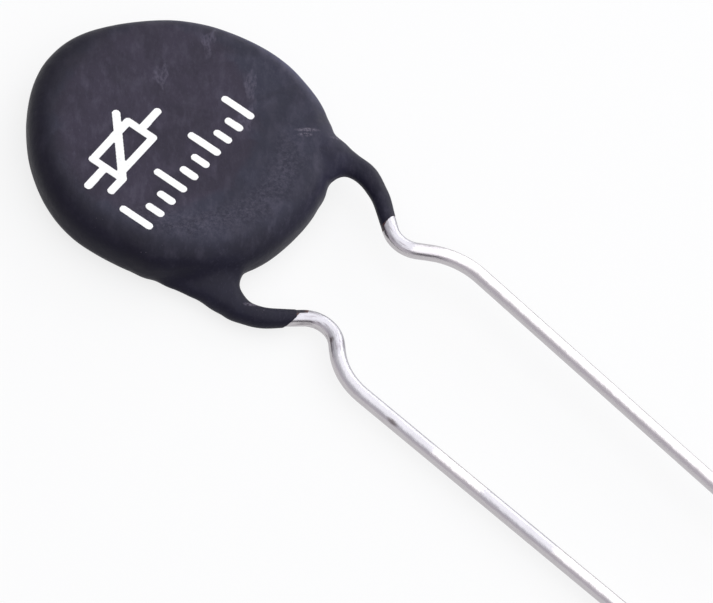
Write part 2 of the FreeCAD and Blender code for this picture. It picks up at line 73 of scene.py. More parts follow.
class Workpiece:
    """A mesh under work. Places are in millimetres, and angles in degrees from +X towards +Y."""

    def __init__(self, thing: bpy.types.Object) -> None:
        """Take a mesh object in hand."""
        self.thing = thing

    @classmethod
    def fresh(cls, name: str) -> "Workpiece":
        """Name the primitive that was just added, and open it for editing with all of it picked.

        Args:
            name: The name of the new piece.

        Returns:
            The piece, in edit mode.
        """
        thing = bpy.context.object
        thing.name = name
        thing.data.name = name
        bpy.ops.object.transform_apply(location=True, rotation=True, scale=True)
        bpy.ops.object.mode_set(mode="EDIT")
        bpy.context.tool_settings.mesh_select_mode = Pick.VERTICES.value
        bpy.ops.mesh.select_all(action="SELECT")
        return cls(thing)

    @classmethod
    def ring(cls, name: str, radius: float, count: int, centre: Vector, heading: float) -> "Workpiece":
        """Start from an upright ring of vertices that stands across a heading.

        Args:
            name: The name of the new piece.
            radius: The ring's radius.
            count: How many vertices it has.
            centre: Its centre.
            heading: The direction that it faces.

        Returns:
            The piece, in edit mode.
        """
        rest()
        bpy.ops.mesh.primitive_circle_add(vertices=count, radius=radius * MM, location=centre * MM,
                                          rotation=(0, math.pi / 2, math.radians(heading)))
        return cls.fresh(name)

    def hold(self, others: Iterable["Workpiece"] = ()) -> None:
        """Let go of everything, then pick this piece as the active one, and others with it."""
        rest()
        for piece in (*others, self):
            piece.thing.select_set(True)
        bpy.context.view_layer.objects.active = self.thing

    def open(self) -> None:
        """Open this piece alone for editing, unless it is open already."""
        if bpy.context.object is not self.thing or self.thing.mode != "EDIT":
            self.hold()
            bpy.ops.object.mode_set(mode="EDIT")

    def extrude(self, move: Vector) -> None:
        """Draw the picked part out by a move."""
        bpy.ops.mesh.extrude_region_move(TRANSFORM_OT_translate={"value": move * MM})

    def shift(self, move: Vector) -> None:
        """Move the picked part."""
        bpy.ops.transform.translate(value=move * MM)

    def turn(self, angle: float, centre: Vector) -> None:
        """Turn the picked part about an upright axis through a centre."""
        bpy.ops.transform.rotate(value=-math.radians(angle), orient_axis="Z", center_override=centre * MM)

    def stretch(self, factors: Iterable[float], centre: Vector) -> None:
        """Scale the picked part about a centre."""
        bpy.ops.transform.resize(value=tuple(factors), center_override=centre * MM)

    def widen(self, heading: float, wide: float, tall: float, centre: Vector) -> None:
        """Scale the picked ring sideways and upwards.

        Args:
            heading: The direction that the ring faces.
            wide: The factor across that heading.
            tall: The factor upwards.
            centre: The ring's centre.
        """
        self.turn(-heading, centre)
        self.stretch((1, wide, tall), centre)
        self.turn(heading, centre)

    def spin(self, angle: float, centre: Vector, steps: int) -> None:
        """Spin the picked part about an upright axis, leaving a surface behind it."""
        bpy.ops.mesh.spin(steps=steps, angle=-math.radians(angle), center=centre * MM, axis=(0, 0, 1))

    def push(self, move: Vector, reach: float) -> None:
        """Push the picked part, and let what lies within reach follow it softly."""
        bpy.ops.transform.translate(value=move * MM, use_proportional_edit=True,
                                    proportional_edit_falloff="SMOOTH", proportional_size=reach * MM)

    def pick(self, kind: Pick, test: Callable[[Any], bool]) -> None:
        """Pick the vertices, edges or faces that pass a test, and nothing else.

        Args:
            kind: What to pick.
            test: A function of the mesh element that says whether it is picked.
        """
        self.open()
        bpy.context.tool_settings.mesh_select_mode = kind.value
        bpy.ops.mesh.select_all(action="DESELECT")
        bpy.ops.object.mode_set(mode="OBJECT")
        mesh = self.thing.data
        parts = {Pick.VERTICES: mesh.vertices, Pick.EDGES: mesh.edges, Pick.FACES: mesh.polygons}[kind]
        for part in parts:
            part.select = bool(test(part))
        bpy.ops.object.mode_set(mode="EDIT")

    def cap(self) -> None:
        """Close the picked ring with a face."""
        bpy.ops.mesh.edge_face_add()

    def close(self) -> None:
        """Merge doubles and turn every face outwards."""
        self.open()
        bpy.ops.mesh.select_all(action="SELECT")
        bpy.ops.mesh.remove_doubles(threshold=SAME)
        bpy.ops.mesh.normals_make_consistent(inside=False)
        bpy.ops.object.mode_set(mode="OBJECT")

    def modify(self, kind: str, **settings: Any) -> None:
        """Add a modifier and apply it.

        Args:
            kind: The modifier's type.
            settings: The modifier's own settings.
        """
        self.hold()
        modifier = self.thing.modifiers.new(kind.lower(), kind)
        for key, value in settings.items():
            setattr(modifier, key, value)
        bpy.ops.object.modifier_apply(modifier=modifier.name)

    def melt(self, voxel: float, passes: int) -> None:
        """Turn the piece into one skin with faces of the voxel's size, and smooth it in a few passes."""
        self.modify("REMESH", mode="VOXEL", voxel_size=voxel * MM, adaptivity=0.0)
        self.modify("SMOOTH", factor=0.5, iterations=passes)

    def join(self, others: Iterable["Workpiece"]) -> None:
        """Take other pieces into this one."""
        self.hold(others)
        bpy.ops.object.join()

    def smooth_shading(self, angle: float) -> None:
        """Shade the piece smooth, but for edges sharper than an angle."""
        self.hold()
        bpy.ops.object.shade_smooth_by_angle(angle=math.radians(angle))

    def finish(self, slot: str, node: str, material: bpy.types.Material) -> bpy.types.Object:
        """Dress the piece, let it ride on the part and stand for a CAD node.

        Args:
            slot: The record's material slot. It is not used.
            node: The CAD node that the piece stands for.
            material: The finish to put on.

        Returns:
            The finished object.
        """
        rest()
        self.thing.data.materials.clear()
        self.thing.data.materials.append(material)
        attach(self.thing, BODY)
        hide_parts(node)
        log.info("%s: %d faces", self.thing.name, len(self.thing.data.polygons))
        return self.thing


def heading_vector(angle: float) -> Vector:
    """The level unit vector along a heading in degrees."""
    return Vector((math.cos(math.radians(angle)), math.sin(math.radians(angle)), 0))


def blend(low: float, high: float, share: float) -> float:
    """Ease from one number to another as share goes from 0 to 1."""
    eased = share * share * (3 - 2 * share)
    return low + (high - low) * eased


# Shader tools.


def maths(operation: str, swapped: bool = False) -> Callable[["Signal", Any], "Signal"]:
    """A method of Signal that adds a Math node.

    Args:
        operation: The node's operation.
        swapped: Whether the other value comes first, as a reflected form needs.

    Returns:
        The method.
    """
    def method(self: "Signal", other: Any) -> "Signal":
        """Work the operation out in the shader."""
        values = (other, self) if swapped else (self, other)
        return self.graph.add("ShaderNodeMath", {"operation": operation}, *values)
    return method


class Signal:
    """A shader socket that takes part in Python expressions."""

    __add__ = __radd__ = maths("ADD")
    __mul__ = __rmul__ = maths("MULTIPLY")
    __sub__ = maths("SUBTRACT")
    __rsub__ = maths("SUBTRACT", swapped=True)
    __truediv__ = maths("DIVIDE")
    __pow__ = maths("POWER")
    most = maths("MAXIMUM")

    def __init__(self, graph: "Graph", socket: bpy.types.NodeSocket) -> None:
        """Wrap an output socket of a graph."""
        self.graph = graph
        self.socket = socket

    def size(self) -> "Signal":
        """The value without its sign."""
        return self.graph.add("ShaderNodeMath", {"operation": "ABSOLUTE"}, self)

    def rise(self, low: float, high: float) -> "Signal":
        """Ease from 0 to 1 while the value goes from low to high, or back down if low is above high."""
        eased = self.graph.add("ShaderNodeMapRange", {"interpolation_type": "SMOOTHSTEP"}, self,
                               min(low, high), max(low, high))
        return eased if low < high else 1 - eased


class Graph:
    """The node graph of one material or world."""

    def __init__(self, owner: bpy.types.Material | bpy.types.World) -> None:
        """Start with an empty graph."""
        owner.use_nodes = True
        self.owner = owner
        self.tree = owner.node_tree
        self.tree.nodes.clear()

    @classmethod
    def of_material(cls, name: str) -> "Graph":
        """The graph of a new material."""
        return cls(bpy.data.materials.new(name))

    def add(self, kind: str, settings: dict[str, Any], *values: Any, output: int = 0,
            named: dict[str | int, Any] | None = None) -> Signal:
        """Add a node, set it up, and link or fill its inputs.

        Args:
            kind: The node's type.
            settings: The node's own settings, such as its operation.
            values: Numbers, colours or signals for its inputs in order. None skips one.
            output: Which output to return.
            named: Values for inputs by name or number.

        Returns:
            The chosen output.
        """
        node = self.tree.nodes.new(kind)
        for key, value in settings.items():
            setattr(node, key, value)
        for place, value in [*enumerate(values), *(named or {}).items()]:
            if isinstance(value, Signal):
                self.tree.links.new(value.socket, node.inputs[place])
            elif value is not None:
                node.inputs[place].default_value = value
        return Signal(self, node.outputs[output])

    def parts(self, vector: Signal) -> tuple[Signal, ...]:
        """The three components of a vector."""
        outputs = self.add("ShaderNodeSeparateXYZ", {}, vector).socket.node.outputs
        return tuple(Signal(self, output) for output in outputs)

    def vector(self, x: Any, y: Any, z: Any) -> Signal:
        """A vector of three values."""
        return self.add("ShaderNodeCombineXYZ", {}, x, y, z)

    def place(self) -> Signal:
        """The place on the piece, in millimetres."""
        metres = self.add("ShaderNodeTexCoord", {}, output=3)
        return self.add("ShaderNodeVectorMath", {"operation": "SCALE"}, metres, named={"Scale": 1 / MM})

    def noise(self, where: Signal, scale: float, detail: float = 2.0, roughness: float = 0.5,
              bend: float = 0.0) -> Signal:
        """Smooth noise about 0.5 with this many swells to the millimetre."""
        return self.add("ShaderNodeTexNoise", {"noise_dimensions": "3D"}, named={
            "Vector": where, "Scale": scale, "Detail": detail, "Roughness": roughness, "Distortion": bend})

    def specks(self, where: Signal, scale: float, size: float) -> Signal:
        """Small round specks, 1 in their middles, at cells of this scale."""
        away = self.add("ShaderNodeTexVoronoi", {"feature": "F1"}, named={"Vector": where, "Scale": scale})
        return away.rise(size, size * 0.4)

    @staticmethod
    def way(x: Signal, y: Signal, direction: Iterable[float]) -> Signal:
        """The place along a direction in plan."""
        ahead, aside = direction
        return x * ahead + y * aside

    def patch(self, x: Signal, y: Signal, middle: Pair, reach: Pair, heading: float) -> Signal:
        """An oval patch in plan, 1 in its middle and 0 at its edge.

        Args:
            x: The place along +X, in millimetres.
            y: The place along +Y.
            middle: The patch's middle.
            reach: Half its length and half its width.
            heading: The way that its length lies.

        Returns:
            The patch.
        """
        cos, sin = math.cos(math.radians(heading)), math.sin(math.radians(heading))
        ahead, aside = x - middle[0], y - middle[1]
        along = (ahead * cos + aside * sin) / reach[0]
        across = (aside * cos - ahead * sin) / reach[1]
        return (along * along + across * across).rise(1.0, 0.0)

    def marks(self, x: Signal, y: Signal, marks: Iterable[Mark], heading: float) -> Signal:
        """Oval patches along one heading, each with its middle, half its length and half its width."""
        return self.most_of(self.patch(x, y, mark[:2], mark[2:], heading) for mark in marks)

    @staticmethod
    def most_of(signals: Iterable[Signal]) -> Signal:
        """The largest of several values."""
        return reduce(Signal.most, signals)

    def mix(self, share: Any, first: Any, second: Any) -> Signal:
        """A colour between two others."""
        return self.add("ShaderNodeMix", {"data_type": "RGBA"}, output=2,
                        named={0: share, 6: first, 7: second})

    def layered(self, base: Any, *layers: tuple[Any, Any]) -> Signal:
        """A colour under layers of others, each with its share and its colour."""
        return reduce(lambda under, layer: self.mix(layer[0], under, layer[1]), layers, base)

    def bump(self, height: Signal, strength: float, distance: float, under: Signal | None = None) -> Signal:
        """A normal that is tilted by a height in millimetres."""
        return self.add("ShaderNodeBump", {}, named={
            "Strength": strength, "Distance": distance * MM, "Height": height, "Normal": under})

    def principled(self, **values: Any) -> Signal:
        """The main surface shader. Underscores stand for spaces in socket names."""
        return self.add("ShaderNodeBsdfPrincipled", {}, named={
            key.replace("_", " "): value for key, value in values.items()})

    def seen(self) -> Signal:
        """1 for what the camera, a reflection or a clear piece sees, and 0 for light that bounces."""
        rays = self.add("ShaderNodeLightPath", {}).socket.node.outputs
        return self.most_of(Signal(self, rays[name])
                            for name in ("Is Camera Ray", "Is Glossy Ray", "Is Transmission Ray"))

    def surface(self, shader: Signal) -> bpy.types.Material | bpy.types.World:
        """End the graph with a surface.

        Args:
            shader: The finished shader.

        Returns:
            The material or world that owns the graph.
        """
        world = isinstance(self.owner, bpy.types.World)
        output = self.tree.nodes.new("ShaderNodeOutputWorld" if world else "ShaderNodeOutputMaterial")
        self.tree.links.new(shader.socket, output.inputs["Surface"])
        return self.owner


def linear(value: int) -> float:
    """A display value of 0 to 255 as a linear one."""
    share = value / 255
    return share / 12.92 if share <= 0.04045 else ((share + 0.055) / 1.055) ** 2.4


def tone(red: int, green: int, blue: int) -> Colour:
    """A colour for a shader from three display values of 0 to 255."""
    return linear(red), linear(green), linear(blue), 1.0


# Finishes.


@dataclass(frozen=True)
class ResinFinish:
    """The satin cured resin of the dip coat, with the marks that drying and handling left on it.

    A side is a heading in plan, and where along it a zone sets in and is full. A reach gives the same by the
    distance from the disc's middle, and a level by the height. A mark has its middle, and half its length and
    width. Wisps lie along the flow, and scuffs and dust along the graze. The rim's darker colour and its
    lower side are painted shade. Its upper side carries painted light and a painted highlight, and so does
    the shoulder by the wires.
    """

    face: Colour = tone(50, 45, 60)
    shelf: Colour = tone(46, 46, 61)
    # Painted shade: the sloping rim is darker than the face, as it gets less light.
    rim: Colour = tone(28, 27, 42)
    # Painted light on the rim's side towards the lamps.
    lit_rim: Colour = tone(38, 37, 54)
    # Dark resin tone for the random cloudy patches, and also the painted shade on the rim's lower side.
    deep_tone_and_shade: Colour = tone(15, 12, 26)
    # Pale hazy tone of the resin, and also the painted highlight on the shoulder by the wires.
    bloom_and_sheen: Colour = tone(94, 90, 107)
    # Painted highlight along the rim's upper edge.
    rim_highlight: Colour = tone(80, 79, 112)
    scuffed: Colour = tone(150, 142, 158)
    specular: float = 0.14
    across_grain: Pair = (0.729, 0.663)
    along_grain: Pair = (0.623, -0.542)
    face_middle: Pair = (-4.1, -2.5)
    face_radius: float = 15.2
    face_level: Pair = (7.4, 8.3)
    shelf_reach: Pair = (22.8, 19.5)
    shelf_level: Pair = (7.5, 8.3)
    upper_level: Pair = (6.0, 8.2)
    lit_side: Triple = (75, 8, 20)
    lit_reach: Pair = (28.0, 25.5)
    shaded_side: Triple = (238, -2, 14)
    shaded_reach: Pair = (18.0, 21.5)
    rim_highlight_side: Triple = (105, 16, 23)
    rim_highlight_reach: Pair = (21.5, 24.5)
    rim_highlight_level: Pair = (5.0, 7.0)
    ridge_radius: float = 17.0
    ridge_fade: Pair = (4.2, 0.4)
    ridge_way: Pair = (0.97, -0.24)
    ridge_span: Pair = (3.0, 12.0)
    flow: float = 124.0
    wisps: tuple[Mark, ...] = (
        (-9.3, 16.0, 4.2, 0.9), (-9.5, 5.7, 4.2, 0.9), (0.5, 15.8, 4.2, 0.9), (4.5, 11.0, 4.2, 0.9))
    graze: float = 49.0
    scuffs: tuple[Mark, ...] = (
        (12.5, 15.9, 2.3, 0.45), (12.9, 14.9, 1.4, 0.45), (16.5, 19.0, 1.6, 0.45), (27.6, -12.6, 1.5, 0.45))
    dusted: tuple[Mark, ...] = (
        (29.3, -12.9, 3.0, 1.4), (19.0, 17.0, 4.5, 3.0), (12.0, -19.0, 3.0, 1.2), (3.0, -21.6, 3.5, 1.2))

    def make(self) -> bpy.types.Material:
        """Build the material.

        Returns:
            The material.
        """
        g = Graph.of_material("dip_coat_resin")
        place = g.place()
        x, y, z = g.parts(place)
        across, along = g.way(x, y, self.across_grain), g.way(x, y, self.along_grain)
        grain_place = g.vector(across, along * 0.5, z)
        mottle = g.noise(grain_place, 0.6, 4.0, 0.6)
        fine = g.noise(grain_place, 2.2, 3.0, 0.65)
        cloud = g.noise(place, 0.16, 3.0, 0.55, 0.4)
        pitted = g.noise(place, 6.0, 3.0, 0.7)
        grit = g.noise(place, 1.8, 5.0, 0.75)
        away = (x * x + y * y) ** 0.5
        upper = z.rise(*self.upper_level)
        face_away = (((across - self.face_middle[0]) / self.face_radius) ** 2
                     + ((along - self.face_middle[1]) / self.face_radius) ** 2) ** 0.5
        face = (face_away + (cloud - 0.5) * 0.4).rise(1.08, 0.94) * z.rise(*self.face_level)

        # Painted light: the rim is lighter on its side towards the lamps.
        lit = self._toward(x, y, *self.lit_side) * away.rise(*self.lit_reach)
        wavy = x + (mottle - 0.5) * 5.0, y + (cloud - 0.5) * 6.0
        wisps = g.marks(*wavy, self.wisps, self.flow) * fine.rise(0.3, 0.64)
        # Painted shade on the rim's lower side, away from the lamps.
        shaded = self._toward(x, y, *self.shaded_side) * away.rise(*self.shaded_reach)
        # Painted highlight along the rim's upper edge, towards the lamps.
        rim_highlight = self._toward(x, y, *self.rim_highlight_side) * away.rise(*self.rim_highlight_reach) * (0.35 + fine * 0.5)
        dust = g.specks(place, 1.7, 0.2) * grit.rise(0.46, 0.6) * g.marks(x, y, self.dusted, self.graze)
        colour = g.layered(
            self.rim,
            (lit, self.lit_rim),
            (z.rise(*self.shelf_level) * away.rise(*self.shelf_reach), self.shelf),
            (face, self.face),
            (mottle.rise(0.44, 0.7) * 0.2 * upper, self.bloom_and_sheen),
            (fine.rise(0.5, 0.75) * 0.13, self.bloom_and_sheen),
            (cloud.rise(0.58, 0.4) * 0.3, self.deep_tone_and_shade),
            # Painted highlight on the shoulder by the wires, broken up by grit.
            (self._ridge_sheen(x, y, away) * grit.rise(0.4, 0.68) * upper * 0.36, self.bloom_and_sheen),
            (wisps * upper * 0.5, self.bloom_and_sheen),
            (shaded * 0.62, self.deep_tone_and_shade),
            (rim_highlight * z.rise(*self.rim_highlight_level), self.rim_highlight),
            (g.marks(x, y, self.scuffs, self.graze) * grit.rise(0.4, 0.6) * 0.4, self.scuffed),
            (dust * 0.3, self.scuffed))

        normal = g.bump(g.noise(place, 0.5, 2.0, 0.5), 0.35, 0.35)
        normal = g.bump(fine * 0.5 + pitted * 0.5, 0.3, 0.09, normal)
        rough = 0.5 + (fine - 0.5) * 0.25 + (cloud - 0.5) * 0.15
        return g.surface(g.principled(Base_Color=colour, Roughness=rough, Normal=normal,
                                      Specular_IOR_Level=self.specular))

    @staticmethod
    def _toward(x: Signal, y: Signal, heading: float, low: float, high: float) -> Signal:
        """0 to 1 as the way along a heading goes from low to high."""
        return Graph.way(x, y, heading_vector(heading).xy).rise(low, high)

    def _ridge_sheen(self, x: Signal, y: Signal, away: Signal) -> Signal:
        """The gritty band where the face begins to fall away on the wires' side: a painted highlight there,
        broken up by grit.
        """
        band = (away - self.ridge_radius).size().rise(*self.ridge_fade)
        return band * Graph.way(x, y, self.ridge_way).rise(*self.ridge_span)


@dataclass(frozen=True)
class InkFinish:
    """Matt white printed ink."""

    white: Colour = tone(250, 250, 250)
    worn: Colour = tone(214, 213, 220)

    def make(self) -> bpy.types.Material:
        """Build the material.

        Returns:
            The material.
        """
        g = Graph.of_material("printed_ink")
        place = g.place()
        fleck = g.noise(place, 2.6, 4.0, 0.7)
        colour = g.mix(fleck.rise(0.58, 0.72) * 0.5, self.white, self.worn)
        normal = g.bump(g.noise(place, 7.0, 2.0), 0.15, 0.03)
        return g.surface(g.principled(Base_Color=colour, Roughness=0.55 + (fleck - 0.5) * 0.2, Normal=normal,
                                      Specular_IOR_Level=0.35))


@dataclass(frozen=True)
class TinnedFinish:
    """Hot-dipped tin on copper wire, with a ragged film of resin where the coat ends.

    The film's edge is a level, and slopes sideways and upwards round the wire. Its tongue runs further along
    one side: which side (1 or -1), where round the wire it starts and how far it runs. Each dull run has its
    start, its end and how dull it is. Its darker tin is partly worked tin and partly painted shade over the
    lamp's reflection, as it lies only on the wire's upper side. Each stain has its middle, its heading and
    half its length.
    """

    name: str
    edge: Triple
    tongue: Triple
    dull_and_shade_runs: tuple[Triple, ...]
    stains: tuple[Mark, ...]
    stain_width: float = 0.36
    bright: Colour = tone(193, 189, 192)
    # Darker tin: partly worked tin, partly painted shade over the lamp's reflection.
    dull: Colour = tone(169, 168, 175)
    streaked: Colour = tone(118, 110, 117)
    stain: Colour = tone(84, 72, 68)
    film: Colour = tone(32, 28, 40)
    film_thin: Colour = tone(88, 58, 54)

    def make(self) -> bpy.types.Material:
        """Build the material. It reads the wire's lay: along, sideways and upwards.

        Returns:
            The material.
        """
        g = Graph.of_material(self.name)
        lay = g.add("ShaderNodeAttribute", {"attribute_name": "lay"}, output=1)
        along, sideways, upward = g.parts(lay)
        x, y, _ = g.parts(g.place())
        streak = g.noise(g.vector(along * 0.12, sideways, upward), 3.2, 4.0, 0.65)
        drawn = g.noise(g.vector(along * 0.04, sideways, upward), 12.0, 3.0, 0.75)
        patch = g.noise(g.vector(along * 0.5, sideways, upward), 0.9, 3.0, 0.6)
        dull_and_shade = self._dull_and_shade_runs(g, x + (streak - 0.5) * 3)
        worked = dull_and_shade.rise(0.82, 0.92)
        # The darker tin is kept to the wire's upper side, leaning to its left, which faces the lamps: painted
        # shade that tones down their reflection.
        dull_and_shade = dull_and_shade * (sideways * 0.7 + upward * 0.7).rise(-0.3, 0.2)
        spot = g.specks(lay, 0.8, 0.16) * patch.rise(0.58, 0.7)
        marks = [g.patch(x, y, (ahead, aside), (reach, self.stain_width), heading) * drawn.rise(0.34, 0.5)
                 for ahead, aside, heading, reach in self.stains]
        colour = g.layered(
            self.bright,
            (dull_and_shade, self.dull),
            (streak.rise(0.48, 0.66) * (0.08 + worked * 0.6), self.streaked),
            (drawn.rise(0.52, 0.7) * 0.2, self.dull),
            (spot * 0.5, self.stain),
            *((mark * 0.7, self.stain) for mark in marks))
        rough = 0.2 + streak * 0.14 + dull_and_shade * 0.1
        normal = g.bump(patch, 0.5, 0.16)
        normal = g.bump(drawn, 0.3, 0.02, normal)
        tin = g.principled(Base_Color=colour, Metallic=1.0, Roughness=rough, Normal=normal)

        ragged = g.noise(g.vector(along * 0.4, sideways, upward), 1.6, 3.0, 0.6)
        level, slant, tilt = self.edge
        side, start, reach = self.tongue
        tongue = (sideways * side).rise(start, start + 0.2) * (reach + 4) - 4
        edge = (level + slant * sideways + tilt * upward).most(tongue) + (ragged - 0.5) * 0.9
        cover = (edge - along).rise(-0.04, 0.04)
        thin = (edge - along).rise(0.8, 0.0)
        film_colour = g.mix(thin * 0.8, self.film, self.film_thin)
        film_normal = g.bump(cover, 1.0, 0.1, g.bump(ragged, 0.4, 0.15))
        resin = g.principled(Base_Color=film_colour, Roughness=0.42, Normal=film_normal,
                             Specular_IOR_Level=0.3)
        return g.surface(g.add("ShaderNodeMixShader", {}, cover, tin, resin))

    def _dull_and_shade_runs(self, g: Graph, ahead: Signal) -> Signal:
        """How dark the tin is, by the place along +X: partly worked tin, partly painted shade over the lamp's
        reflection.
        """
        return g.most_of(ahead.rise(start - 0.25, start + 0.25) * ahead.rise(end + 0.25, end - 0.25) * share
                         for start, end, share in self.dull_and_shade_runs)


@dataclass(frozen=True)
class CeramicFinish:
    """Sintered oxide: dark grey-brown, matt and finely grained."""

    dark: Colour = tone(46, 42, 40)
    light: Colour = tone(84, 78, 74)

    def make(self) -> bpy.types.Material:
        """Build the material.

        Returns:
            The material.
        """
        g = Graph.of_material("sintered_oxide")
        place = g.place()
        grain = g.noise(place, 5.0, 5.0, 0.75)
        colour = g.mix(grain.rise(0.4, 0.7), self.dark, self.light)
        normal = g.bump(grain, 0.4, 0.06)
        return g.surface(g.principled(Base_Color=colour, Roughness=0.72 + (grain - 0.5) * 0.2, Normal=normal))


@dataclass(frozen=True)
class SilverFinish:
    """A soft metal face: fired silver, or solder that has set in ripples."""

    name: str
    bright: Colour
    dull: Colour
    swell: float
    depth: float

    def make(self) -> bpy.types.Material:
        """Build the material.

        Returns:
            The material.
        """
        g = Graph.of_material(self.name)
        place = g.place()
        ripple = g.noise(place, self.swell, 3.0, 0.55)
        fine = g.noise(place, 6.0, 3.0, 0.7)
        colour = g.mix(fine.rise(0.35, 0.75), self.bright, self.dull)
        normal = g.bump(ripple, 0.5, self.depth, g.bump(fine, 0.3, 0.02))
        return g.surface(g.principled(Base_Color=colour, Metallic=1.0, Roughness=0.34 + fine * 0.2,
                                      Normal=normal))


# The wires.


@dataclass(frozen=True)
class Route:
    """The way of one wire: out of the disc, round the kink and straight to its tip."""

    exit: Pair
    kink: Pair
    set: Pair
    tip: Pair
    level: float
    inner_heading: float
    bends: Triple
    coat_end: float

    def corners(self) -> list[Vector]:
        """The corners at the wire's level: exit, kink, set and tip."""
        return [Vector((*corner, self.level)) for corner in (self.exit, self.kink, self.set, self.tip)]

    def headings(self) -> list[float]:
        """The headings of the four runs.

        Returns:
            The headings, from the inner run's to that of the run that ends at the tip.
        """
        corners = self.corners()
        steps = [after - before for before, after in zip(corners, corners[1:])]
        return [self.inner_heading, *(math.degrees(math.atan2(step.y, step.x)) for step in steps)]

    def tangents(self) -> list[float]:
        """How far each bend reaches along the runs from its corner."""
        headings = self.headings()
        return [bend * math.tan(math.radians(abs(after - before)) / 2)
                for bend, before, after in zip(self.bends, headings, headings[1:])]


@dataclass
class KinkedWire:
    """One tinned wire: the round wire with its kink, and the neck and paddle inside the coat.

    The paddle has its length, width and height, and its blunt end a length and a size.
    """

    name: str
    node: str
    route: Route
    finish: TinnedFinish
    diameter: float = 2.6
    tip_break: float = 0.25
    exit_run: float = 9.41
    neck_length: float = 4.0
    mid_level: float = 4.3
    paddle: Triple = (13.0, 4.8, 1.1)
    paddle_end: Pair = (0.6, 0.8)
    paddle_rise: float = 0.3
    paddle_steps: int = 6
    sides: int = 40
    run_step: float = 1.1
    bend_step: float = 5.0
    sharp_angle: float = 35.0

    def build(self) -> bpy.types.Object:
        """Draw the wire from its cut tip back to its paddle, and dress it.

        Returns:
            The finished wire.
        """
        route = self.route
        radius = self.diameter / 2
        headings, tangents, corners = route.headings(), route.tangents(), route.corners()
        back = [heading_vector(angle + 180) for angle in headings]
        at = corners[3]
        piece = Workpiece.ring(self.name, radius - self.tip_break, self.sides, at, headings[3])
        piece.extrude(back[3] * self.tip_break)
        at = at + back[3] * self.tip_break
        piece.stretch([radius / (radius - self.tip_break)] * 3, at)
        for index in (2, 1, 0):
            goal = corners[index] - back[index + 1] * tangents[index]
            at = self._run(piece, at, goal)
            turn = headings[index] - headings[index + 1]
            side = 1 if turn > 0 else -1
            normal = heading_vector(headings[index + 1] + 180 + 90 * side)
            steps = max(3, round(abs(turn) / self.bend_step))
            piece.spin(turn, at + normal * route.bends[index], steps)
            at = corners[index] + back[index] * tangents[index]
        neck = corners[0] + back[0] * (self.exit_run - self.neck_length)
        at = self._run(piece, at, neck)
        self._flatten(piece, at, back[0])
        self._lay(piece)
        piece.close()
        piece.smooth_shading(self.sharp_angle)
        return piece.finish("tinned_wire", self.node, self.finish.make())

    def _run(self, piece: Workpiece, start: Vector, goal: Vector) -> Vector:
        """Draw the wire straight on to a goal.

        Args:
            piece: The wire.
            start: Where its last ring is.
            goal: Where the run ends.

        Returns:
            The goal.
        """
        steps = max(1, round((goal - start).length / self.run_step))
        for _ in range(steps):
            piece.extrude((goal - start) / steps)
        return goal

    def _flatten(self, piece: Workpiece, at: Vector, back: Vector) -> None:
        """Press the end flat: a neck that widens into the paddle, then the paddle itself.

        Args:
            piece: The wire.
            at: Where its last ring is.
            back: The direction into the disc.
        """
        length, width, height = self.paddle
        end_length, end_size = self.paddle_end
        steps = self.paddle_steps
        sign = 1 if self.route.level > self.mid_level else -1
        wide = tall = self.diameter
        for step in range(1, steps + 1):
            share = step / steps
            rise = self.paddle_rise * sign * (blend(0, 1, share) - blend(0, 1, (step - 1) / steps))
            move = back * (self.neck_length / steps) + Vector((0, 0, rise))
            piece.extrude(move)
            at = at + move
            new_wide, new_tall = blend(self.diameter, width, share), blend(self.diameter, height, share)
            piece.widen(self.route.inner_heading, new_wide / wide, new_tall / tall, at)
            wide, tall = new_wide, new_tall
        move = back * (length - end_length) / steps
        for _ in range(steps):
            piece.extrude(move)
            at = at + move
        piece.extrude(back * end_length)
        piece.stretch([end_size] * 3, at + back * end_length)

    def _lay(self, piece: Workpiece) -> None:
        """Write on each vertex how far past the coat's end it lies and on which side, and close the ends.

        Args:
            piece: The wire, whose vertices lie ring after ring.
        """
        rest()
        mesh = piece.thing.data
        corners = [vertex.co.copy() for vertex in mesh.vertices]
        rings = [corners[start:start + self.sides] for start in range(0, len(corners), self.sides)]
        centres = [sum(ring, Vector()) / self.sides for ring in rings]
        along = [0.0]
        for before, after in zip(centres, centres[1:]):
            along.append(along[-1] - (after - before).length / MM)
        leg = heading_vector(self.route.headings()[1])
        end = self.route.corners()[0] * MM + leg * self.route.coat_end * MM
        nearest = min(range(len(rings) - 1), key=lambda index: (centres[index] - end).length)
        offset = along[nearest] - (centres[nearest] - end).dot(leg) / MM
        values = []
        for index, (ring, centre) in enumerate(zip(rings, centres)):
            ahead = centres[max(0, index - 1)] - centres[min(len(rings) - 1, index + 1)]
            left = Vector((-ahead.y, ahead.x, 0)).normalized()
            for corner in ring:
                out = (corner - centre).normalized()
                values += [along[index] - offset, out.dot(left), out.z]
        attribute = mesh.attributes.new("lay", "FLOAT_VECTOR", "POINT")
        attribute.data.foreach_set("vector", values)
        for start in (0, len(corners) - self.sides):
            piece.pick(Pick.VERTICES, lambda vertex: 0 <= vertex.index - start < self.sides)
            piece.cap()
        rest()


# The coat.


@dataclass(frozen=True)
class Section:
    """A cross-section of a coated leg: how far back from the exit corner, and its width and height."""

    back: float
    width: float
    height: float

    def toward(self, other: "Section", share: float) -> "Section":
        """The section that lies a share of the way to another."""
        return Section(*(low + (high - low) * share for low, high in zip(astuple(self), astuple(other))))


@dataclass(frozen=True)
class CoatedLeg:
    """The coat on one wire, from inside the disc to where it ends on the leg.

    It is made longer than it ends up by its spare, then cut. Each cut has its level at the wire's middle, and
    how far that moves along towards the wire's left side and towards its top.
    """

    route: Route
    web: Section
    shoulder: Section
    throat: float
    trims: tuple[Triple, ...]
    end_diameter: float = 2.9
    spare: float = 1.4


